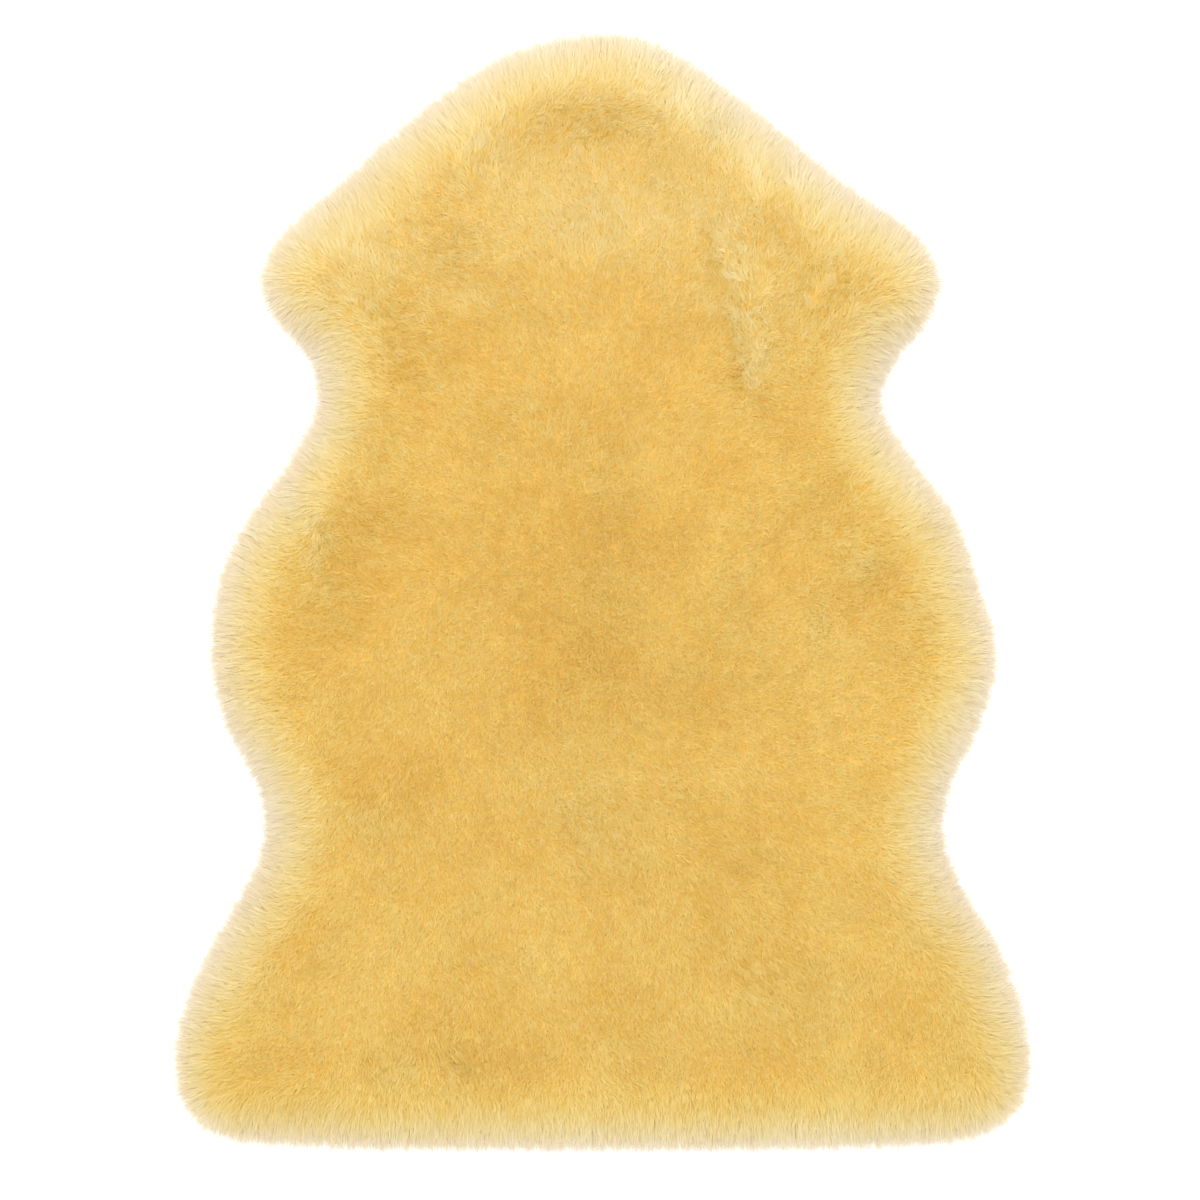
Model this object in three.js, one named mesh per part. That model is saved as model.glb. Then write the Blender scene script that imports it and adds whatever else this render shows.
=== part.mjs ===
// Medical sheepskin: one tanned hide with its shorn wool on, lying flat with the wool up.
// Millimetres, +Z up, +Y towards the head end, origin on the floor under the middle of the skin.
import * as THREE from "three";

// Driving dimensions
const PILE_HEIGHT = 30; // floor to the tips of the standing wool
const WOOL_OVERHANG = 28; // how far the wool reaches past the hide's cut edge
const LOCK_COUNT = 240; // pointed locks round the rim, about 12 mm apart
const POINTS_PER_LOCK = 2; // a lock's tip and the notch beside it
const RIM_POINTS = LOCK_COUNT * POINTS_PER_LOCK;
const RIM_POINTS_PER_FIELD_POINT = 3; // the wool's top is coarser than its rim
const FIELD_RINGS = 12; // rings of the wool's top, from the rim to the backbone
const CURVE_STEPS_PER_POINT = 8; // fineness at which the outline's length is measured
const NORMAL_REACH = 2; // outline points to each side that set the way out of the rim

// Reach of the wool to each side of the backbone, from head to tail
const CROWN = { across: 8, station: 474 };
const SECTIONS = [
  { name: "forehead", station: 469, left: 42, right: 38 },
  { name: "brow", station: 453, left: 89, right: 70 },
  { name: "temple", station: 402, left: 162, right: 140 },
  { name: "cheek", station: 350, left: 220, right: 202 },
  { name: "ear_front", station: 300, left: 277, right: 271 },
  { name: "ear_tip", station: 265, left: 292, right: 289 },
  { name: "ear_back", station: 228, left: 279, right: 278 },
  { name: "nape", station: 198, left: 250, right: 252 },
  { name: "neck", station: 160, left: 243, right: 237 },
  { name: "withers", station: 113, left: 266, right: 265 },
  { name: "shoulder", station: 62, left: 302, right: 302 },
  { name: "rib", station: 11, left: 326, right: 319 },
  { name: "flank", station: -53, left: 333, right: 336 },
  { name: "belly", station: -112, left: 321, right: 322 },
  { name: "loin", station: -165, left: 294, right: 296 },
  { name: "waist", station: -202, left: 287, right: 290 },
  { name: "groin", station: -244, left: 301, right: 303 },
  { name: "thigh", station: -295, left: 331, right: 334 },
  { name: "haunch", station: -346, left: 354, right: 355 },
  { name: "tail_side", station: -398, left: 364, right: 364 },
  { name: "tail_corner", station: -440, left: 355, right: 355 },
  { name: "hem_corner", station: -462, left: 326, right: 322 },
  { name: "hem", station: -470, left: 262, right: 258 },
];
const HEM_MIDDLE = { across: 0, station: -474 };

// The wool's rolled edge, from the hide's cut edge out to the tips and back up to the field.
// inset is measured inwards from the reach, and notch is how far the rim steps in between locks.
const RIM_PROFILE = [
  { name: "cut_edge", inset: WOOL_OVERHANG, height: 0, notch: 0 },
  { name: "tips", inset: -1.5, height: 6, notch: 9 },
  { name: "outer_roll", inset: 5, height: 17, notch: 6 },
  { name: "upper_roll", inset: 15, height: 25, notch: 3.5 },
  { name: "field_edge", inset: 31, height: PILE_HEIGHT, notch: 0 },
];
const SHORTEST_LOCK = 0.4; // share of a notch's depth that the shortest lock stands out of it
const NOTCH_DROP = 0.4; // a notch lies this share of its depth lower than the tips
const LOCK_SWAY = 3; // how far a lock's tip leans to one side
const LOCK_LIFT = 2.5; // how much a lock's tip rises or droops
const LOCK_TRAITS = { length: 0, sway: 1, lift: 2 };

// Rise and fall all over the wool: height, and wave lengths across, along and aslant.
// The bends make the rows of clumps wander, so that they don't stand in a grid.
const SWELL = { height: 1, across: 260, along: 330, aslant: 420 };
const CLUMP = { height: 1.1, across: 82, along: 94, bendAcross: 145, bendAlong: 180 };
const EDGE_RELIEF = 0.5; // share of the rise and fall that is left at the field's edge

// Mounds and hollows where the wool parts or bunches, each an oval of soft edge
const RELIEF = [
  { name: "crown_hollow", across: -18, station: 393, along: 32, wide: 70, turn: 0, rise: -2.2 },
  { name: "brow_tuft", across: 84, station: 388, along: 14, wide: 22, turn: 20, rise: 2.4 },
  { name: "ear_tuft", across: 152, station: 342, along: 20, wide: 16, turn: 35, rise: 2.6 },
  { name: "collar_ridge", across: 130, station: 248, along: 62, wide: 18, turn: 14, rise: 3 },
  { name: "collar_furrow", across: 100, station: 236, along: 58, wide: 14, turn: 10, rise: -2.4 },
  { name: "cheek_hollow", across: -128, station: 276, along: 30, wide: 34, turn: -20, rise: -2 },
  { name: "cheek_tuft", across: -122, station: 240, along: 14, wide: 26, turn: 10, rise: 2 },
  { name: "ear_parting", across: -236, station: 258, along: 16, wide: 26, turn: 40, rise: -2 },
  { name: "shoulder_swirl", across: -243, station: 62, along: 26, wide: 20, turn: 15, rise: 2.6 },
  { name: "shoulder_hollow", across: -205, station: 42, along: 40, wide: 26, turn: 10, rise: -2 },
  { name: "flank_tuft", across: 208, station: 22, along: 26, wide: 14, turn: -35, rise: 2 },
  { name: "flank_hollow", across: 216, station: -10, along: 40, wide: 18, turn: 5, rise: -1.8 },
  { name: "back_mound", across: -18, station: -190, along: 52, wide: 42, turn: 0, rise: 2.4 },
];

// The wool's outline, anticlockwise from the crown, at even steps
function woolReach() {
  const leftSide = SECTIONS.map((row) => new THREE.Vector3(-row.left, row.station, 0));
  const rightSide = SECTIONS.map((row) => new THREE.Vector3(row.right, row.station, 0));
  const outline = new THREE.CatmullRomCurve3(
    [
      new THREE.Vector3(CROWN.across, CROWN.station, 0),
      ...leftSide,
      new THREE.Vector3(HEM_MIDDLE.across, HEM_MIDDLE.station, 0),
      ...rightSide.reverse(),
    ],
    true,
    "centripetal",
  );
  outline.arcLengthDivisions = RIM_POINTS * CURVE_STEPS_PER_POINT;
  return outline.getSpacedPoints(RIM_POINTS).slice(0, RIM_POINTS);
}

// Unit vectors that point from each outline point towards the inside
function inwardNormals(outline) {
  return outline.map((point, i) => {
    const before = outline[(i + RIM_POINTS - NORMAL_REACH) % RIM_POINTS];
    const after = outline[(i + NORMAL_REACH) % RIM_POINTS];
    return new THREE.Vector3(before.y - after.y, after.x - before.x, 0).normalize();
  });
}

// A fixed number from 0 to 1 for each lock and trait, so that the locks differ
function lockTrait(lock, trait) {
  return THREE.MathUtils.seededRandom(1 + trait * LOCK_COUNT + lock);
}

// The same, spread evenly to both sides of nought
function lockOffset(lock, trait) {
  return 2 * lockTrait(lock, trait) - 1;
}

// Phase of a wave of the given length at a distance
function phase(distance, length) {
  return (2 * Math.PI * distance) / length;
}

// Height of one named mound or hollow at a place
function namedRelief(x, y, { across, station, along, wide, turn, rise }) {
  const angle = THREE.MathUtils.degToRad(turn);
  const dx = x - across;
  const dy = y - station;
  const side = (dx * Math.cos(angle) + dy * Math.sin(angle)) / wide;
  const length = (dy * Math.cos(angle) - dx * Math.sin(angle)) / along;
  return rise * Math.exp(-side * side - length * length);
}

// Height of the wool above its even top: broad swells, clumps, and the named mounds and hollows
function relief(x, y) {
  const swell =
    Math.sin(phase(x, SWELL.across)) * Math.cos(phase(y, SWELL.along)) +
    Math.sin(phase(x + y, SWELL.aslant));
  const clumps =
    Math.sin(phase(x, CLUMP.across) + Math.sin(phase(y, CLUMP.bendAlong))) *
    Math.sin(phase(y, CLUMP.along) + Math.sin(phase(x, CLUMP.bendAcross)));
  const named = RELIEF.reduce((sum, place) => sum + namedRelief(x, y, place), 0);
  return SWELL.height * swell + CLUMP.height * clumps + named;
}

// One ring of the rolled edge, notched between its locks, whose tips sway and lift
function rimRing(outline, inward, { inset, height, notch }) {
  const looseness = notch / Math.max(...RIM_PROFILE.map((row) => row.notch));
  return outline.map((point, i) => {
    const lock = Math.floor(i / POINTS_PER_LOCK);
    const isTip = i % POINTS_PER_LOCK === 0;
    const length = THREE.MathUtils.lerp(SHORTEST_LOCK, 1, lockTrait(lock, LOCK_TRAITS.length));
    const sway = LOCK_SWAY * looseness * lockOffset(lock, LOCK_TRAITS.sway);
    const lift = LOCK_LIFT * looseness * lockOffset(lock, LOCK_TRAITS.lift);
    const along = new THREE.Vector3(inward[i].y, -inward[i].x, 0);
    const ringPoint = point.clone();
    ringPoint.addScaledVector(inward[i], inset + (isTip ? notch * (1 - length) : notch));
    ringPoint.addScaledVector(along, isTip ? sway : 0);
    ringPoint.z = height + (isTip ? lift : -NOTCH_DROP * notch);
    return ringPoint;
  });
}

// Stations on the backbone that a ring's points draw in to, the same for left and right.
// Past both ends of the backbone the points fan round its last station.
function backboneStations(ring) {
  const head = SECTIONS.find((row) => row.name === "ear_front").station;
  const tail = SECTIONS.find((row) => row.name === "thigh").station;
  return ring.map((point, i) => {
    const across = ring[(ring.length - i) % ring.length];
    return THREE.MathUtils.clamp((point.y + across.y) / 2, tail, head);
  });
}

// Rings of the wool's top, drawn in from the field's edge towards the backbone
function fieldRings(fieldEdge) {
  const edge = fieldEdge.filter((point, i) => i % RIM_POINTS_PER_FIELD_POINT === 0);
  const stations = backboneStations(edge);
  return Array.from({ length: FIELD_RINGS }, (unused, ring) => {
    const share = (ring + 1) / (FIELD_RINGS + 1);
    return edge.map((point, i) => {
      const x = point.x * (1 - share);
      const y = THREE.MathUtils.lerp(point.y, stations[i], share);
      return new THREE.Vector3(x, y, PILE_HEIGHT + relief(x, y));
    });
  });
}

// Vertices and triangles of one closed skin, collected ring by ring
class Skin {
  positions = [];
  triangles = [];

  addRing(ring) {
    const first = this.positions.length;
    this.positions.push(...ring);
    return ring.map((point, i) => first + i);
  }

  // Quads between two rings of equal count, facing out where the second lies inwards
  addBand(outer, inner) {
    outer.forEach((a, i) => {
      const next = (i + 1) % outer.length;
      this.triangles.push([a, outer[next], inner[next]], [a, inner[next], inner[i]]);
    });
  }

  // Joins a fine ring to one with a third as many points
  addTaper(fine, coarse) {
    coarse.forEach((c, j) => {
      const cNext = coarse[(j + 1) % coarse.length];
      const f = [0, 1, 2, 3].map((k) => fine[(RIM_POINTS_PER_FIELD_POINT * j + k) % fine.length]);
      this.triangles.push([f[0], f[1], c], [f[1], f[2], c], [f[2], f[3], cNext], [f[2], cNext, c]);
    });
  }

  // Fills a ring up to the backbone, where left and right meet, facing up or down to the floor
  addMiddle(ring, heightAt, faceDown) {
    const spine = new Map();
    const spinePoints = backboneStations(ring.map((i) => this.positions[i])).map((station) => {
      if (!spine.has(station)) {
        const [index] = this.addRing([new THREE.Vector3(0, station, heightAt(0, station))]);
        spine.set(station, index);
      }
      return spine.get(station);
    });
    ring.forEach((a, i) => {
      const next = (i + 1) % ring.length;
      const faces = [[a, ring[next], spinePoints[next]]];
      if (spinePoints[i] !== spinePoints[next]) {
        faces.push([a, spinePoints[next], spinePoints[i]]);
      }
      this.triangles.push(...faces.map((face) => (faceDown ? face.reverse() : face)));
    });
  }

  // Puts the middle of the skin's box over the origin and hands it over as a geometry
  geometry() {
    const made = new THREE.BufferGeometry().setFromPoints(this.positions);
    made.setIndex(this.triangles.flat());
    made.computeBoundingBox();
    const middle = made.boundingBox.getCenter(new THREE.Vector3());
    made.translate(-middle.x, -middle.y, 0);
    made.computeVertexNormals();
    return made;
  }
}

// The whole sheepskin: flat hide side, rolled rim of locks and lumpy wool top, in one solid
function sheepskinGeometry() {
  const outline = woolReach();
  const inward = inwardNormals(outline);
  const skin = new Skin();
  const rims = RIM_PROFILE.map((row) => rimRing(outline, inward, row));
  const fieldEdge = rims[rims.length - 1];
  for (const point of fieldEdge) {
    point.z += EDGE_RELIEF * relief(point.x, point.y);
  }
  const rimRings = rims.map((ring) => skin.addRing(ring));
  rimRings.slice(1).forEach((ring, i) => skin.addBand(rimRings[i], ring));
  const tops = fieldRings(fieldEdge).map((ring) => skin.addRing(ring));
  skin.addTaper(rimRings[rimRings.length - 1], tops[0]);
  tops.slice(1).forEach((ring, i) => skin.addBand(tops[i], ring));
  skin.addMiddle(tops[tops.length - 1], (x, y) => PILE_HEIGHT + relief(x, y), false);
  skin.addMiddle(rimRings[0], () => 0, true);
  return skin.geometry();
}

const wool = new THREE.MeshStandardMaterial({
  name: "golden_wool",
  color: 0xe6bb63,
  roughness: 0.95,
  metalness: 0,
});

const sheepskin = new THREE.Mesh(sheepskinGeometry(), wool);
sheepskin.name = "sheepskin";

const part = new THREE.Group();
part.name = "medical_sheepskin";
part.add(sheepskin);

export default part;
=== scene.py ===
# Medical sheepskin: the looks of one tanned hide with its shorn wool on, lying flat with the wool up.
# Metres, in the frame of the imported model: +Y towards the head end, +Z up, the floor at nought.
import math

import bmesh
import bpy
import numpy as np
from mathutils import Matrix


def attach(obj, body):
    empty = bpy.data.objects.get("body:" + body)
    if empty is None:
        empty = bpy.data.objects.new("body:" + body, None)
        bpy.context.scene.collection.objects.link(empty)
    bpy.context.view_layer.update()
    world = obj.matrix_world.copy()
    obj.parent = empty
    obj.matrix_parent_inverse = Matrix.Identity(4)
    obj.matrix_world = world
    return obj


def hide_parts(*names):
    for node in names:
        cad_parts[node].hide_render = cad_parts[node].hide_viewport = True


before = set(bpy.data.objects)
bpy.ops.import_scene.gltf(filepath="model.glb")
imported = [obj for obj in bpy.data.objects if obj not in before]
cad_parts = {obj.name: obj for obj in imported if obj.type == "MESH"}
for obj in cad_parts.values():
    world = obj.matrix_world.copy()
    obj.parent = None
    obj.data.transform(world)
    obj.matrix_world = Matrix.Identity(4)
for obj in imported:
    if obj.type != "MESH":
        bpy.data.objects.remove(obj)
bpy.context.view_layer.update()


# The hide: the sheep's own tanned skin, a supple leather about 2 mm thick with a napped flesh side.
# It is trimmed to the outline of the fleece, and lies flat with the flesh side down.
HIDE_THICKNESS = 0.002
EDGE_STEPS = 720  # points round the cut edge
FLOOR_HEIGHT = 1e-4  # points of the solid below this are on its flat underside
BACKBONE_HEAD = 0.300  # stations between which the hide's two sides meet on a line
BACKBONE_TAIL = -0.295
BACKBONE_WIDTH = 0.03
EDGE_CENTRE = (0.0, 0.15)  # from here the whole cut edge is in view
SAME_PLACE = 1e-5  # points closer than this are one
NO_LENGTH = 1e-9  # a vector shorter than this has no direction
EDGE_NEIGHBOUR = 3  # steps to the neighbours that give the edge its direction
HIDE_RINGS = 10  # rings of each side, from the cut edge to the backbone
BUFF_LIGHT = (0.72, 0.53, 0.29, 1)
BUFF_DARK = (0.58, 0.39, 0.18, 1)


def cut_edge(solid, steps):
    """The solid's points on the floor, without those on the backbone, in order of their angle round
    the edge's centre from the crown, anticlockwise, and taken again at even steps of its length."""
    points = np.empty(len(solid.data.vertices) * 3, np.float32)
    solid.data.vertices.foreach_get("co", points)
    points = np.unique(points.reshape(-1, 3).astype(float).round(6), axis=0)
    floor = points[points[:, 2] < FLOOR_HEIGHT, :2]
    off_line, off_middle = np.abs(floor).T
    on_backbone = (off_line < BACKBONE_WIDTH) & (off_middle < BACKBONE_HEAD + BACKBONE_WIDTH)
    edge = floor[~on_backbone]
    across, along = (edge - EDGE_CENTRE).T
    turn = (np.arctan2(along, across) - math.pi / 2) % (2 * math.pi)
    edge = edge[np.argsort(turn)]
    closed = np.vstack([edge, edge[:1]])
    length = np.concatenate([[0], np.cumsum(np.linalg.norm(np.diff(closed, axis=0), axis=1))])
    at = np.linspace(0, length[-1], steps, endpoint=False)
    return np.stack([np.interp(at, length, closed[:, axis]) for axis in (0, 1)], axis=1)


def unit(vectors):
    """Vectors divided by their length, with straight up in place of those that have none."""
    length = np.linalg.norm(vectors, axis=-1, keepdims=True)
    up = np.zeros(vectors.shape[-1])
    up[-1] = 1
    return np.where(length > NO_LENGTH, vectors / np.maximum(length, NO_LENGTH), up)


def outward(edge):
    """Unit vectors square to the line through each point's two neighbours, on its outer side."""
    along = np.roll(edge, -EDGE_NEIGHBOUR, axis=0) - np.roll(edge, EDGE_NEIGHBOUR, axis=0)
    return unit(np.stack([along[:, 1], -along[:, 0]], axis=1))


def towards_backbone(edge, share):
    """Points moved that share of the way to the backbone: to the middle across the skin, and along it
    to the nearest station of the backbone, the same for a point and the one across from it."""
    across = np.roll(edge[::-1], 1, axis=0)
    station = np.clip((edge[:, 1] + across[:, 1]) / 2, BACKBONE_TAIL, BACKBONE_HEAD)
    spine = np.stack([np.zeros(len(edge)), station], axis=1)
    return edge + share * (spine - edge)


def at_height(ring, height):
    """A flat ring of points lifted to a height, one number or one for each point."""
    return np.column_stack([ring, np.broadcast_to(height, len(ring))])


def loft(name, rings):
    """A closed surface of quads between neighbouring rings of equal count. Points that fall together,
    as on the backbone, are merged, and quads that lose a side there become triangles."""
    rows, count = rings.shape[:2]
    index = np.arange(rows * count).reshape(rows, count)
    after = np.roll(index, -1, axis=1)
    quads = np.stack([index[:-1], after[:-1], after[1:], index[1:]], axis=-1).reshape(-1, 4)
    mesh = bpy.data.meshes.new(name)
    mesh.from_pydata(rings.reshape(-1, 3), [], quads)
    shell = bmesh.new()
    shell.from_mesh(mesh)
    bmesh.ops.remove_doubles(shell, verts=shell.verts, dist=SAME_PLACE)
    bmesh.ops.dissolve_degenerate(shell, edges=shell.edges, dist=SAME_PLACE)
    shell.to_mesh(mesh)
    shell.free()
    mesh.shade_smooth()
    piece = bpy.data.objects.new(name, mesh)
    bpy.context.scene.collection.objects.link(piece)
    return piece


def plan_map(piece):
    """The bake's map, laid out as the piece is seen from above, with the skin's length filling it."""
    mesh = piece.data
    corner = np.empty(len(mesh.loops), np.int32)
    mesh.loops.foreach_get("vertex_index", corner)
    points = np.empty(len(mesh.vertices) * 3, np.float32)
    mesh.vertices.foreach_get("co", points)
    plan = points.reshape(-1, 3)[corner, :2]
    low, high = plan.min(axis=0), plan.max(axis=0)
    layer = mesh.uv_layers.new(name="OFBake")
    layer.uv.foreach_set("vector", ((plan - low) / (high - low).max()).ravel())


def mottle_group():
    """Soft cloudy patches with a finer grain on them: two noises of the given sizes, mixed."""
    group = bpy.data.node_groups.new("mottle", "ShaderNodeTree")
    group.interface.new_socket("Vector", in_out="INPUT", socket_type="NodeSocketVector")
    group.interface.new_socket("Patch Scale", in_out="INPUT", socket_type="NodeSocketFloat")
    group.interface.new_socket("Grain Scale", in_out="INPUT", socket_type="NodeSocketFloat")
    group.interface.new_socket("Mask", in_out="OUTPUT", socket_type="NodeSocketFloat")
    group.interface.new_socket("Height", in_out="OUTPUT", socket_type="NodeSocketFloat")
    nodes, links = group.nodes, group.links
    entry = nodes.new("NodeGroupInput")
    leave = nodes.new("NodeGroupOutput")
    patches = nodes.new("ShaderNodeTexNoise")
    patches.inputs["Detail"].default_value = 3
    grain = nodes.new("ShaderNodeTexNoise")
    grain.inputs["Detail"].default_value = 4
    blend = nodes.new("ShaderNodeMix")
    blend.inputs["Factor"].default_value = 0.4
    links.new(entry.outputs["Vector"], patches.inputs["Vector"])
    links.new(entry.outputs["Patch Scale"], patches.inputs["Scale"])
    links.new(entry.outputs["Vector"], grain.inputs["Vector"])
    links.new(entry.outputs["Grain Scale"], grain.inputs["Scale"])
    links.new(patches.outputs["Fac"], blend.inputs["A"])
    links.new(grain.outputs["Fac"], blend.inputs["B"])
    links.new(blend.outputs["Result"], leave.inputs["Mask"])
    links.new(grain.outputs["Fac"], leave.inputs["Height"])
    return group


def mottled_material(name, mottle, light, dark, patch_scale, grain_scale, roughness, relief):
    """A rough surface that wanders between two colours over the mottle, with its grain raised."""
    material = bpy.data.materials.new(name)
    material.use_nodes = True
    nodes, links = material.node_tree.nodes, material.node_tree.links
    surface = nodes["Principled BSDF"]
    surface.inputs["Roughness"].default_value = roughness
    place = nodes.new("ShaderNodeTexCoord")
    cloud = nodes.new("ShaderNodeGroup")
    cloud.node_tree = mottle
    cloud.inputs["Patch Scale"].default_value = patch_scale
    cloud.inputs["Grain Scale"].default_value = grain_scale
    ramp = nodes.new("ShaderNodeValToRGB")
    ramp.color_ramp.elements[0].position = 0.3
    ramp.color_ramp.elements[0].color = dark
    ramp.color_ramp.elements[1].position = 0.7
    ramp.color_ramp.elements[1].color = light
    bump = nodes.new("ShaderNodeBump")
    bump.inputs["Strength"].default_value = 0.6
    bump.inputs["Distance"].default_value = relief
    links.new(place.outputs["Object"], cloud.inputs["Vector"])
    links.new(cloud.outputs["Mask"], ramp.inputs["Fac"])
    links.new(ramp.outputs["Color"], surface.inputs["Base Color"])
    links.new(cloud.outputs["Height"], bump.inputs["Height"])
    links.new(bump.outputs["Normal"], surface.inputs["Normal"])
    return material


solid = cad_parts["sheepskin"]
hide_edge = cut_edge(solid, EDGE_STEPS)
hide_out = outward(hide_edge)
hide_shares = np.linspace(0, 1, HIDE_RINGS)
flesh_side = [at_height(towards_backbone(hide_edge, share), 0) for share in hide_shares[::-1]]
wool_side = [at_height(towards_backbone(hide_edge, share), HIDE_THICKNESS) for share in hide_shares]
hide = loft("hide", np.array(flesh_side + wool_side))
plan_map(hide)
mottle = mottle_group()
napped_leather = mottled_material(
    "napped_leather",
    mottle,
    light=BUFF_LIGHT,
    dark=BUFF_DARK,
    patch_scale=14,
    grain_scale=900,
    roughness=0.9,
    relief=0.0006,
)
hide.data.materials.append(napped_leather)
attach(hide, "root")


# The undercoat: the dense, felted inner part of the wool, which fills the fleece up to the loose tips.
# It grows out of the hide and swells past its cut edge, and follows the solid's lumps and hollows.
UNDERCOAT_HEIGHT = 0.0235  # floor to its even top
SOLID_TOP = 0.026  # points of the solid above this are on the wool's top
RELIEF_REACH = 0.013  # how far each point of the solid's top is felt
UNDERCOAT_ROLL = [  # out past the cut edge, height
    (-0.001, 0.0018),
    (0.008, 0.0030),
    (0.0135, 0.0065),
    (0.0145, 0.0110),
    (0.0115, 0.0155),
    (0.0045, 0.0190),
    (-0.0060, 0.0215),
    (-0.0200, UNDERCOAT_HEIGHT),
]
FAINT = 1e-12  # weight that is left of the farthest points
FIELD_RINGS = 44  # rings from the roll to the backbone
GOLD_DEEP = (0.92, 0.63, 0.15, 1)
GOLD_SHADE = (0.86, 0.55, 0.11, 1)


def solid_relief(solid, places):
    """How far the solid's top lies above its mean over each place: the mean height of its top points,
    each weighted by a bell curve of its distance."""
    points = np.empty(len(solid.data.vertices) * 3, np.float32)
    solid.data.vertices.foreach_get("co", points)
    top = np.unique(points.reshape(-1, 3).round(6), axis=0)
    top = top[top[:, 2] > SOLID_TOP]
    across = (places[:, None, 0] - top[None, :, 0]) / RELIEF_REACH
    along = (places[:, None, 1] - top[None, :, 1]) / RELIEF_REACH
    weight = np.exp(-(across**2 + along**2)) + FAINT
    return weight @ top[:, 2] / weight.sum(axis=1) - top[:, 2].mean()


roll = [at_height(hide_edge + out * hide_out, height) for out, height in UNDERCOAT_ROLL]
field_edge = hide_edge + UNDERCOAT_ROLL[-1][0] * hide_out
field = []
for share in np.linspace(0, 1, FIELD_RINGS + 1)[1:]:
    ring = towards_backbone(field_edge, share)
    field.append(at_height(ring, UNDERCOAT_HEIGHT + solid_relief(solid, ring)))
undercoat_rings = np.array(roll + field)
undercoat = loft("undercoat", undercoat_rings)
plan_map(undercoat)
felted_wool = mottled_material(
    "felted_wool",
    mottle,
    light=GOLD_DEEP,
    dark=GOLD_SHADE,
    patch_scale=22,
    grain_scale=420,
    roughness=0.95,
    relief=0.0012,
)
undercoat.data.materials.append(felted_wool)
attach(undercoat, "root")
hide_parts("sheepskin")


# The fibres: the loose upper part of the shorn wool, fine locks that lean with the nap and gather in
# small points. Round the rim they fan out over the cut edge, and there their colour fades to cream:
# painted glow of the light that shines through the thin fringe.
FIBRE_COUNT = 870_000
FIBRE_SEED = 7
FIBRE_WIDTH = 0.00075  # at its root
WIDTH_RANGE = (0.7, 1.3)  # of single fibres, as shares of that
RIM_FINER = 0.25  # how much narrower they are at the rim
FIBRE_ROOT = 0.001  # depth of its root in the undercoat
FIBRE_FLOOR = 0.0004  # no fibre comes nearer to the floor
FIELD_LENGTH = 0.0080
RIM_LENGTH = 0.0160
SHAG_LENGTH = 0.004  # added in a shaggy tuft
CLUMP_LENGTH = 0.1  # how much longer or shorter a clump is
SHORTEST, LONGEST = 0.75, 1.15  # of single fibres, as shares of their length
RIM_SHORTER, RIM_LONGER = 0.2, 0.1  # how much farther they range at the rim
WOOL_OVERHANG = 0.028  # how far the wool reaches past the cut edge
RIM_EDGE = 0.02  # this near to the outline the nap lies straight outwards
RIM_BAND = 0.075  # and from here on it begins to turn there
WAY_BLEND = 0.02  # how much farther a point of the outline may be and still draw the nap
FIELD_LEAN = 0.65  # how far a fibre leans for each length it stands up
RIM_LEAN = 1.0
SHAG_LEAN = 0.1
RIM_DROOP = 0.3
NAP_CENTRE = (0.0, -0.02)  # the nap lies away from here
NAP_UPRIGHT = 0.18  # it stands straight at its centre and leans in full this far out
BROAD_SWIRL, BROAD_SWIRL_SIZE, BROAD_SWIRL_SEED = 1.2, 0.15, 11
FINE_SWIRL, FINE_SWIRL_SIZE, FINE_SWIRL_SEED = 0.8, 0.04, 12
FIELD_STRAY = 0.4  # how far single fibres stray from the nap
RIM_STRAY = 0.22
SHAG_CALM = 0.4  # how much less they stray in a shaggy tuft
CLUMP_SIZE, CLUMP_SEED = 0.0045, 21
CLUMP_PULL = 0.2  # how far its tips draw together
CLUMP_TURN = 0.5
LOCK_SIZE, LOCK_SEED = 0.009, 22  # the larger locks of the shaggy tufts
LOCK_PULL = 0.35
LOCK_TURN = 0.8
RIM_CALM = 0.6  # how much less clumps and locks turn at the rim
PATCH_SHAG, PATCH_SIZE, PATCH_SEED = 0.3, 0.06, 13  # slightly shaggy patches all over
PATCH_RISE = (0.1, 0.8)
LATTICE = 97  # points of the noises' lattice to a side
CLUMP_GRID = 257  # squares of clumps to a side, after which they repeat
ROLL = 0.5  # how far a fibre is turned about its length
UPWARD = 1.0  # how far the fibres' flat sides turn up from the pile's own slope
FIELD_SOFTNESS = 0.25  # share of that slope in the shading of a fibre
RIM_SOFTNESS = 0.75
TUFT_SOFTNESS = 0.3  # added to it where a tuft is combed
TONE_ROOT_TO_TIP = (0.3, 0.3, 0.7)  # nought is the root's colour and one the tip's
FIBRE_TONE = 0.45  # how far each of these shifts the tone
CLUMP_TONE = 0.14
SHAG_TONE = 0.25
LOCK_TONE = 0.4
BROAD_TONE, BROAD_TONE_SIZE, BROAD_TONE_SEED = 0.30, 0.05, 31
FINE_TONE, FINE_TONE_SIZE, FINE_TONE_SEED = 0.20, 0.014, 32
# Tufts are given painted light and shade: a lighter tone where a tuft stands up into the light, a
# darker one in the hollows, partings, furrows and shaded patches.
TUFT_LIGHT_AND_SHADE = 0.5
PAINTED_GLOW_BAND = 0.070  # width of the band where the gold fades to cream, a painted glow of light through the thin fringe
HEM_GLOW_BAND = 0.050  # the same along the hem, narrower as the hem lies away from the light
HEM_STATIONS = (-0.42, -0.30)  # between these the one goes over into the other
TIP_REACH = 0.8  # share of its length by which a fibre's tip is nearer to the outline
AT_TIP = np.array([0, 0, 1])
HEAD_PALENESS = 0.15  # share of cream in the gold at the head end
HEAD_STATIONS = (0.12, 0.34)  # between these it sets in
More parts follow.
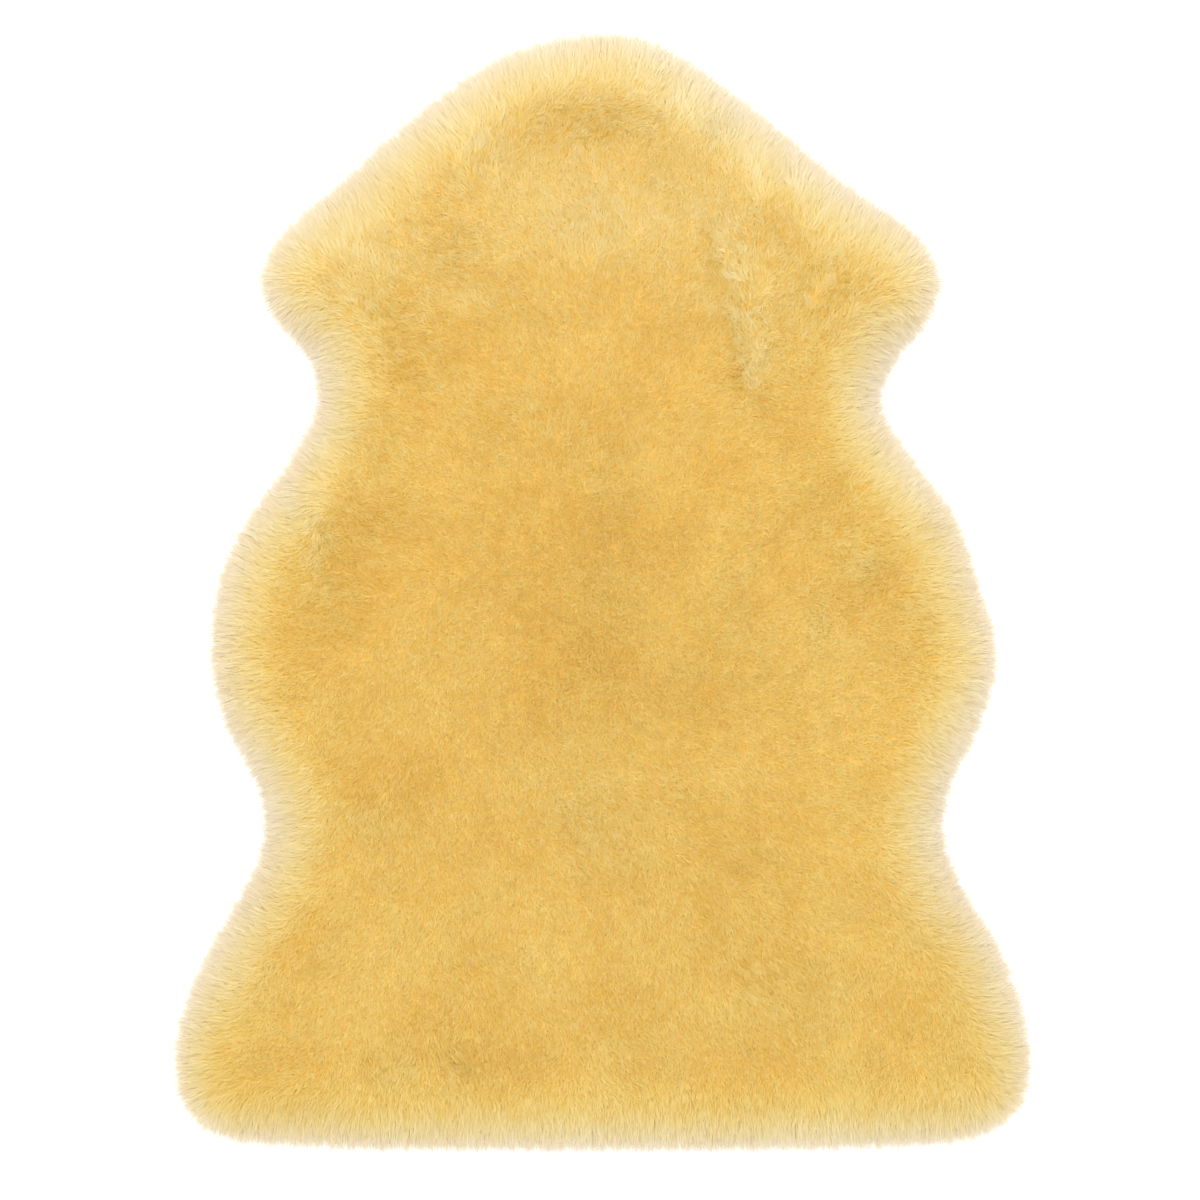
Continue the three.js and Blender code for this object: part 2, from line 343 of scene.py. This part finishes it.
# Cream added on the lighter tufts, a painted highlight.
TUFT_HIGHLIGHT = 0.13
CLUMP_PALENESS = 0.05
LOCK_PALENESS = 0.08
FIBRE_PALENESS = 0.06
MAP_WIDTH = np.array([-0.002, 0.002, 0])  # keeps each fibre's map from closing to a line
MAP_LOW, MAP_HIGH = 0.02, 0.98
ZONES = ("wool_head", "wool_neck", "wool_shoulder", "wool_loin", "wool_rump")
ROOT_COLOURS = [  # painted glow and paleness, colour
    (0.0, (0.90, 0.63, 0.14, 1)),
    (0.3, (0.94, 0.75, 0.29, 1)),
    (0.7, (0.91, 0.78, 0.52, 1)),
    (1.0, (0.80, 0.70, 0.56, 1)),
]
TIP_COLOURS = [
    (0.0, (0.97, 0.79, 0.28, 1)),
    (0.3, (0.97, 0.84, 0.46, 1)),
    (0.7, (0.95, 0.85, 0.64, 1)),
    (1.0, (0.86, 0.77, 0.64, 1)),
]
TUFT_EDGE = 1.7  # how much steeper a tuft's left side is than its right
TUFTS = [  # name, across, station, wide, along, turn, tone of painted light and shade, shag, comb and its way
    ("crown_hollow", -0.018, 0.398, 0.055, 0.024, 0, -0.6, 0.8, 0.0, 0),
    ("brow_left", -0.105, 0.370, 0.050, 0.030, 35, 0.1, 0.8, 0.0, 0),
    ("brow_right", 0.060, 0.412, 0.018, 0.014, 0, 0.5, 0.8, 0.6, 110),
    ("brow_tuft", 0.095, 0.388, 0.024, 0.012, -10, 0.5, 0.8, 0.7, 200),
    ("ear_lock", 0.128, 0.346, 0.009, 0.024, 8, 0.8, 0.9, 0.9, 95),
    ("ear_tuft", 0.158, 0.346, 0.012, 0.014, 35, 0.8, 0.9, 0.9, 130),
    ("ear_parting", 0.145, 0.318, 0.012, 0.026, 0, -0.6, 0.5, 0.0, 0),
    ("collar_ridge", 0.112, 0.250, 0.020, 0.054, 10, 0.9, 0.9, 0.6, 120),
    ("collar_foot", 0.127, 0.190, 0.018, 0.034, 6, 0.7, 0.8, 0.5, 120),
    ("collar_furrow", 0.098, 0.250, 0.010, 0.050, 8, -0.5, 0.0, 0.0, 0),
    ("right_ear", 0.185, 0.250, 0.045, 0.060, 0, -0.1, 0.8, 0.7, 105),
    ("nape_light", 0.008, 0.312, 0.085, 0.045, 0, 0.5, 0.4, 0.5, 90),
    ("cheek_hollow", -0.122, 0.286, 0.024, 0.022, -20, -0.6, 0.6, 0.0, 0),
    ("cheek_tuft", -0.114, 0.243, 0.022, 0.012, 10, 0.5, 0.6, 0.6, 110),
    ("left_ear", -0.205, 0.275, 0.040, 0.040, 0, 0.5, 0.6, 0.9, 85),
    ("left_parting", -0.205, 0.233, 0.050, 0.014, 8, -0.6, 0.5, 0.0, 0),
    ("neck_left", -0.175, 0.200, 0.045, 0.030, 0, -0.4, 0.6, 0.0, 0),
    ("neck_tuft", -0.206, 0.143, 0.014, 0.012, 0, 0.7, 0.7, 0.7, 240),
    ("neck_band", -0.052, 0.150, 0.080, 0.024, 0, -0.4, 0.3, 0.0, 0),
    ("shoulder_swirl", -0.250, 0.072, 0.018, 0.024, 15, 0.6, 0.8, 0.8, 235),
    ("shoulder_lock", -0.238, 0.040, 0.014, 0.024, -10, 0.5, 0.7, 0.7, 280),
    ("shoulder_parting", -0.205, 0.070, 0.022, 0.024, 30, -0.5, 0.6, 0.0, 0),
    ("shoulder_hollow", -0.228, 0.000, 0.036, 0.030, 10, -0.5, 0.6, 0.0, 0),
    ("flank_swirl", 0.271, 0.057, 0.012, 0.016, 0, -0.3, 0.6, 0.4, 260),
    ("flank_lock", 0.206, 0.030, 0.018, 0.022, 30, 0.4, 0.7, 0.6, 310),
    ("flank_parting", 0.228, -0.004, 0.022, 0.024, 0, -0.6, 0.6, 0.0, 0),
    ("flank_light", 0.184, -0.024, 0.022, 0.034, 0, 0.4, 0.3, 0.4, 200),
    ("flank_rim", 0.262, -0.012, 0.030, 0.020, 10, -0.3, 0.7, 0.6, 330),
    ("back_light", -0.022, -0.185, 0.048, 0.055, 0, 0.5, 0.1, 0.3, 90),
    ("back_shade", 0.020, -0.095, 0.080, 0.022, 10, -0.4, 0.2, 0.0, 0),
    ("loin_shade", -0.188, -0.176, 0.045, 0.050, 0, -0.35, 0.2, 0.0, 0),
    ("rump_shade", -0.137, -0.392, 0.070, 0.022, 0, -0.5, 0.5, 0.0, 0),
    ("rump_right", 0.135, -0.330, 0.060, 0.050, 0, -0.25, 0.4, 0.0, 0),
]


def soft_noise(places, size, seed):
    """Random numbers from -1 to 1 on a square lattice of that size, eased from corner to corner."""
    lattice = np.random.default_rng(seed).uniform(-1, 1, (LATTICE, LATTICE))
    cell = places / size
    low = np.floor(cell).astype(int)
    ease = cell - low
    ease = ease * ease * (3 - 2 * ease)
    a, b = ease.T
    i, j = low.T % LATTICE
    next_i, next_j = (low.T + 1) % LATTICE
    near = lattice[i, j] * (1 - a) + lattice[next_i, j] * a
    far = lattice[i, next_j] * (1 - a) + lattice[next_i, next_j] * a
    return near * (1 - b) + far * b


def ring_normals(rings):
    """Square to the step round each ring and the step from ring to ring."""
    round_it = np.roll(rings, -1, axis=1) - np.roll(rings, 1, axis=1)
    inwards = np.gradient(rings, axis=0)
    return unit(np.cross(round_it, inwards))


def nearest_reach(ring, reach):
    """Distance of each point from the outline that the wool reaches, and the way to it: the mean of
    the ways to all its points, each weighted by how little farther it is than the nearest."""
    step = reach[None] - ring[:, None, :2]
    away = np.linalg.norm(step, axis=2)
    least = away.min(axis=1, keepdims=True)
    weight = np.exp((least - away) / WAY_BLEND)
    way = (step / np.maximum(away, NO_LENGTH)[:, :, None] * weight[:, :, None]).sum(axis=1)
    return np.column_stack([least, unit(way)])


def scatter(rings, count, rng):
    """Places spread evenly over the lofted surface: each falls on a triangle by its share of the area,
    at random within it. Returns the triangle's corners in the rings and their weights."""
    rows, steps = rings.shape[:2]
    index = np.arange(rows * steps).reshape(rows, steps)
    after = np.roll(index, -1, axis=1)
    lower = np.stack([index[:-1], after[:-1], after[1:]], axis=-1).reshape(-1, 3)
    upper = np.stack([index[:-1], after[1:], index[1:]], axis=-1).reshape(-1, 3)
    corners = np.stack([lower, upper], axis=1).reshape(-1, 3)
    a, b, c = rings.reshape(-1, 3)[corners].transpose(1, 0, 2)
    share = np.cumsum(np.linalg.norm(np.cross(b - a, c - a), axis=1))
    pick = np.searchsorted(share / share[-1], (np.arange(count) + rng.uniform(size=count)) / count)
    first, second = rng.uniform(size=(2, count))
    outside = first + second > 1
    first, second = np.where(outside, 1 - first, first), np.where(outside, 1 - second, second)
    return corners[pick], np.stack([1 - first - second, first, second], axis=1)


def clumps(places, size, seed):
    """The clump that each place belongs to, as its centre and two random numbers from -1 to 1. Each
    square of the skin has one centre, at random in it, and the nearest of the nine squares wins."""
    traits = np.random.default_rng(seed).uniform(0, 1, (CLUMP_GRID, CLUMP_GRID, 4))
    square = np.floor(places / size).astype(int)
    nearest = np.full(len(places), np.inf)
    found = np.zeros((len(places), 4))
    for step in np.ndindex(3, 3):
        cell = square + np.array(step) - 1
        trait = traits[cell[:, 0] % CLUMP_GRID, cell[:, 1] % CLUMP_GRID]
        centre = (cell + trait[:, :2]) * size
        away = ((centre - places) ** 2).sum(axis=1)
        nearer = away < nearest
        nearest = np.where(nearer, away, nearest)
        found[nearer] = np.column_stack([centre, 2 * trait[:, 2:] - 1])[nearer]
    return found[:, :2], found[:, 2], found[:, 3]


def turned(vectors, angle):
    """Flat vectors turned anticlockwise by an angle each."""
    cos, sin = np.cos(angle), np.sin(angle)
    x, y = vectors.T
    return np.stack([x * cos - y * sin, x * sin + y * cos], axis=1)


def tufts(places):
    """Painted light and shade, shag and comb of the named tufts and hollows, each times an oval bell
    curve, steeper on its left, and summed. The comb is the way that a tuft leans, as a vector, and its
    weight."""
    tone, shag, weight = np.zeros((3, len(places)))
    comb = np.zeros_like(places)
    for _, across, station, wide, along, turn, tuft_light_and_shade, tuft_shag, combed, way in TUFTS:
        step = turned(places - (across, station), -math.radians(turn)) / (wide, along)
        step[:, 0] *= np.where(step[:, 0] < 0, TUFT_EDGE, 1)
        bell = np.exp(-(step**2).sum(axis=1))
        tone += tuft_light_and_shade * bell
        shag += tuft_shag * bell
        weight += combed * bell
        heading = math.radians(way)
        comb += (combed * bell)[:, None] * (math.cos(heading), math.sin(heading))
    return tone, np.clip(shag, 0, 1), comb / np.maximum(weight, 1)[:, None], np.clip(weight, 0, 1)


def eased(values, low, high):
    """0 up to low, 1 from high, and an S-curve between."""
    share = np.clip((values - low) / (high - low), 0, 1)
    return share * share * (3 - 2 * share)


def nap(places, out, at_rim):
    """Way that the wool leans: away from the middle with broad swirls, and outwards at the rim."""
    step = places - NAP_CENTRE
    away = unit(step) * eased(np.linalg.norm(step, axis=1), 0, NAP_UPRIGHT)[:, None]
    turn = BROAD_SWIRL * soft_noise(places, BROAD_SWIRL_SIZE, BROAD_SWIRL_SEED)
    turn += FINE_SWIRL * soft_noise(places, FINE_SWIRL_SIZE, FINE_SWIRL_SEED)
    swirl = turned(away, turn)
    return swirl * (1 - at_rim)[:, None] + out * at_rim[:, None]


def fibre_piece(name, points, normals, shades):
    """One narrow triangle a fibre, from the two sides of its root to its tip."""
    corners = np.arange(3 * len(points), dtype=np.int32)
    mesh = bpy.data.meshes.new(name)
    mesh.vertices.add(len(corners))
    mesh.vertices.foreach_set("co", points.astype(np.float32).ravel())
    mesh.loops.add(len(corners))
    mesh.loops.foreach_set("vertex_index", corners)
    mesh.polygons.add(len(points))
    mesh.polygons.foreach_set("loop_start", corners[::3].copy())
    mesh.update(calc_edges=True)
    mesh.shade_smooth()
    shading = mesh.attributes.new("custom_normal", "FLOAT_VECTOR", "POINT")
    shading.data.foreach_set("vector", np.repeat(normals, 3, axis=0).astype(np.float32).ravel())
    layer = mesh.uv_layers.new(name="OFBake")
    layer.uv.foreach_set("vector", shades.astype(np.float32).ravel())
    piece = bpy.data.objects.new(name, mesh)
    bpy.context.scene.collection.objects.link(piece)
    return piece


def wool_material():
    """Golden wool: the map's first number runs from the deep colour of a fibre's root to the light one
    of its tip, and its second from the golden middle of the skin to the cream of its rim, which is
    painted glow of the light that shines through the thin fringe."""
    material = bpy.data.materials.new("golden_wool")
    material.use_nodes = True
    nodes, links = material.node_tree.nodes, material.node_tree.links
    surface = nodes["Principled BSDF"]
    surface.inputs["Roughness"].default_value = 0.9
    surface.inputs["Specular IOR Level"].default_value = 0
    shades = nodes.new("ShaderNodeUVMap")
    shades.uv_map = "OFBake"
    split = nodes.new("ShaderNodeSeparateXYZ")
    mix = nodes.new("ShaderNodeMixRGB")
    links.new(shades.outputs["UV"], split.inputs["Vector"])
    links.new(split.outputs["X"], mix.inputs["Fac"])
    for socket, colours in (("Color1", ROOT_COLOURS), ("Color2", TIP_COLOURS)):
        ramp = nodes.new("ShaderNodeValToRGB")
        ramp.color_ramp.elements.new(colours[1][0])
        ramp.color_ramp.elements.new(colours[2][0])
        for element, (position, colour) in zip(ramp.color_ramp.elements, colours):
            element.position = position
            element.color = colour
        links.new(split.outputs["Y"], ramp.inputs["Fac"])
        links.new(ramp.outputs["Color"], mix.inputs[socket])
    links.new(mix.outputs["Color"], surface.inputs["Base Color"])
    return material


rng = np.random.default_rng(FIBRE_SEED)
corners, weights = scatter(undercoat_rings, FIBRE_COUNT, rng)
reach = hide_edge + WOOL_OVERHANG * hide_out
rim_of = np.concatenate([nearest_reach(ring, reach) for ring in undercoat_rings])
slopes = ring_normals(undercoat_rings).reshape(-1, 3)
facts = np.column_stack([undercoat_rings.reshape(-1, 3), slopes, rim_of])
facts = np.einsum("fc,fck->fk", weights, facts[corners])
root, normal = facts[:, :3], unit(facts[:, 3:6])
rim, out = facts[:, 6], unit(facts[:, 7:9])
place = root[:, :2]

centre, clump_length, clump_turn = clumps(place, CLUMP_SIZE, CLUMP_SEED)
lock_centre, lock_tone, lock_turn = clumps(place, LOCK_SIZE, LOCK_SEED)
tuft_light_and_shade, shag, comb, combed = tufts(place)
shag = shag + PATCH_SHAG * eased(soft_noise(place, PATCH_SIZE, PATCH_SEED), *PATCH_RISE)
shag = np.clip(shag, 0, 1)
at_rim = 1 - eased(rim, RIM_EDGE, RIM_BAND)
lean = nap(place, out, at_rim) * (1 - combed)[:, None] + comb
turn = (CLUMP_TURN * clump_turn + LOCK_TURN * shag * lock_turn) * (1 - RIM_CALM * at_rim)
lean = turned(lean, turn)
lean *= (FIELD_LEAN + SHAG_LEAN * shag + (RIM_LEAN - FIELD_LEAN) * at_rim)[:, None]
lean = np.column_stack([lean, -RIM_DROOP * at_rim])
stray = rng.normal(0, 1, (FIBRE_COUNT, 3))
stray = stray * (FIELD_STRAY + (RIM_STRAY - FIELD_STRAY) * at_rim)[:, None]
rise = unit(normal + lean + stray * (1 - SHAG_CALM * shag)[:, None])
length = FIELD_LENGTH + SHAG_LENGTH * shag * (1 - at_rim) + (RIM_LENGTH - FIELD_LENGTH) * at_rim
shortest, longest = SHORTEST - RIM_SHORTER * at_rim, LONGEST + RIM_LONGER * at_rim
length *= (1 + CLUMP_LENGTH * clump_length) * rng.uniform(shortest, longest)
tip = root + length[:, None] * rise
tip[:, :2] += CLUMP_PULL * (centre - place) + LOCK_PULL * shag[:, None] * (lock_centre - place)
slope = unit(normal + (0, 0, UPWARD))
flat = unit(np.cross(tip - root, slope))
roll_angle = rng.normal(0, ROLL, FIBRE_COUNT)[:, None]
side = flat * np.cos(roll_angle) + np.cross(rise, flat) * np.sin(roll_angle)
width = FIBRE_WIDTH * (1 - RIM_FINER * at_rim) * rng.uniform(*WIDTH_RANGE, FIBRE_COUNT)
half = width[:, None] / 2 * side
sunk = root - FIBRE_ROOT * normal
points = np.stack([sunk - half, sunk + half, tip], axis=1)
points[:, :, 2] = np.maximum(points[:, :, 2], FIBRE_FLOOR)
face = unit(np.cross(2 * half, tip - sunk))
softness = FIELD_SOFTNESS + (RIM_SOFTNESS - FIELD_SOFTNESS) * at_rim
softness = (softness + TUFT_SOFTNESS * combed * (1 - at_rim))[:, None]
shading = unit(softness * slope + (1 - softness) * face)

# Tone: random by fibre, clump, lock and patch, plus the tufts' painted light and shade.
tone = FIBRE_TONE * rng.normal(0, 1, FIBRE_COUNT) + TUFT_LIGHT_AND_SHADE * tuft_light_and_shade
tone += (CLUMP_TONE + SHAG_TONE * shag) * clump_length + LOCK_TONE * shag * lock_tone
tone += BROAD_TONE * soft_noise(place, BROAD_TONE_SIZE, BROAD_TONE_SEED)
tone += FINE_TONE * soft_noise(place, FINE_TONE_SIZE, FINE_TONE_SEED)
tone = tone[:, None] + TONE_ROOT_TO_TIP
# Paleness: painted glow of the light through the thin fringe, strongest at the outline and at the tips,
# in a narrower band along the hem.
rim_at = rim[:, None] - TIP_REACH * length[:, None] * AT_TIP
band = HEM_GLOW_BAND + (PAINTED_GLOW_BAND - HEM_GLOW_BAND) * eased(place[:, 1], *HEM_STATIONS)
glow_and_paleness = np.clip(1 - rim_at / band[:, None], 0, 1) ** 2
# Cream at the head end, painted highlight on the lighter tufts, and random paleness by clump and lock.
paler = HEAD_PALENESS * eased(place[:, 1], *HEAD_STATIONS) + TUFT_HIGHLIGHT * np.clip(tuft_light_and_shade, 0, 1)
paler += CLUMP_PALENESS * clump_length + LOCK_PALENESS * shag * lock_tone
glow_and_paleness += paler[:, None] * np.clip(1 - 2 * glow_and_paleness, 0, 1)
glow_and_paleness += FIBRE_PALENESS * rng.normal(0, 1, (FIBRE_COUNT, 1)) + MAP_WIDTH
shades = np.clip(np.stack([tone, glow_and_paleness], axis=2), MAP_LOW, MAP_HIGH)

wool = wool_material()
order = np.argsort(-root[:, 1])
for name, members in zip(ZONES, np.array_split(order, len(ZONES))):
    piece = fibre_piece(name, points[members], shading[members], shades[members])
    piece.data.materials.append(wool)
    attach(piece, "root")
    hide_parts("sheepskin")


# The stage: a plain white floor, under soft light from above and beyond the head end.
# The camera looks straight down, with the head end at the top of the picture.
FRAME_WIDTH = 1.020  # metres of the floor across the square picture
FRAME_CENTRE = (-0.0009, -0.0064)
CAMERA_HEIGHT = 2.6
SENSOR_WIDTH = 36
FLOOR_SIZE = 8
FLOOR_GREY = 0.9
FLOOR_GLOW = 0.4  # keeps it white under the fringe
SKY_STRENGTH = 1.04

bpy.ops.mesh.primitive_plane_add(size=FLOOR_SIZE)
floor = bpy.context.object
floor.name = "floor"
white = bpy.data.materials.new("white_floor")
white.use_nodes = True
paint = white.node_tree.nodes["Principled BSDF"].inputs
paint["Base Color"].default_value = (FLOOR_GREY, FLOOR_GREY, FLOOR_GREY, 1)
paint["Roughness"].default_value = 0.9
paint["Emission Color"].default_value = (1, 1, 1, 1)
paint["Emission Strength"].default_value = FLOOR_GLOW
floor.data.materials.append(white)

world = bpy.data.worlds.new("studio")
world.use_nodes = True
sky = world.node_tree.nodes["Background"].inputs
sky["Color"].default_value = (1, 1, 1, 1)
sky["Strength"].default_value = SKY_STRENGTH
bpy.context.scene.world = world


def softbox(name, place, size, watts):
    """A square lamp that faces the skin's middle."""
    lamp = bpy.data.lights.new(name, "AREA")
    lamp.size = size
    lamp.energy = watts
    box = bpy.data.objects.new(name, lamp)
    box.location = place
    box.rotation_mode = "QUATERNION"
    box.rotation_quaternion = (-box.location).to_track_quat("-Z", "Y")
    bpy.context.scene.collection.objects.link(box)


softbox("key", place=(-0.4, 1.9, 1.9), size=1.4, watts=5.5)
softbox("overhead", place=(0.0, 0.6, 2.4), size=1.6, watts=26)

lens = bpy.data.cameras.new("camera")
lens.sensor_width = SENSOR_WIDTH
lens.lens = SENSOR_WIDTH * CAMERA_HEIGHT / FRAME_WIDTH
camera = bpy.data.objects.new("camera", lens)
camera.location = (*FRAME_CENTRE, CAMERA_HEIGHT)
bpy.context.scene.collection.objects.link(camera)
bpy.context.scene.camera = camera
bpy.context.scene.view_settings.view_transform = "Standard"
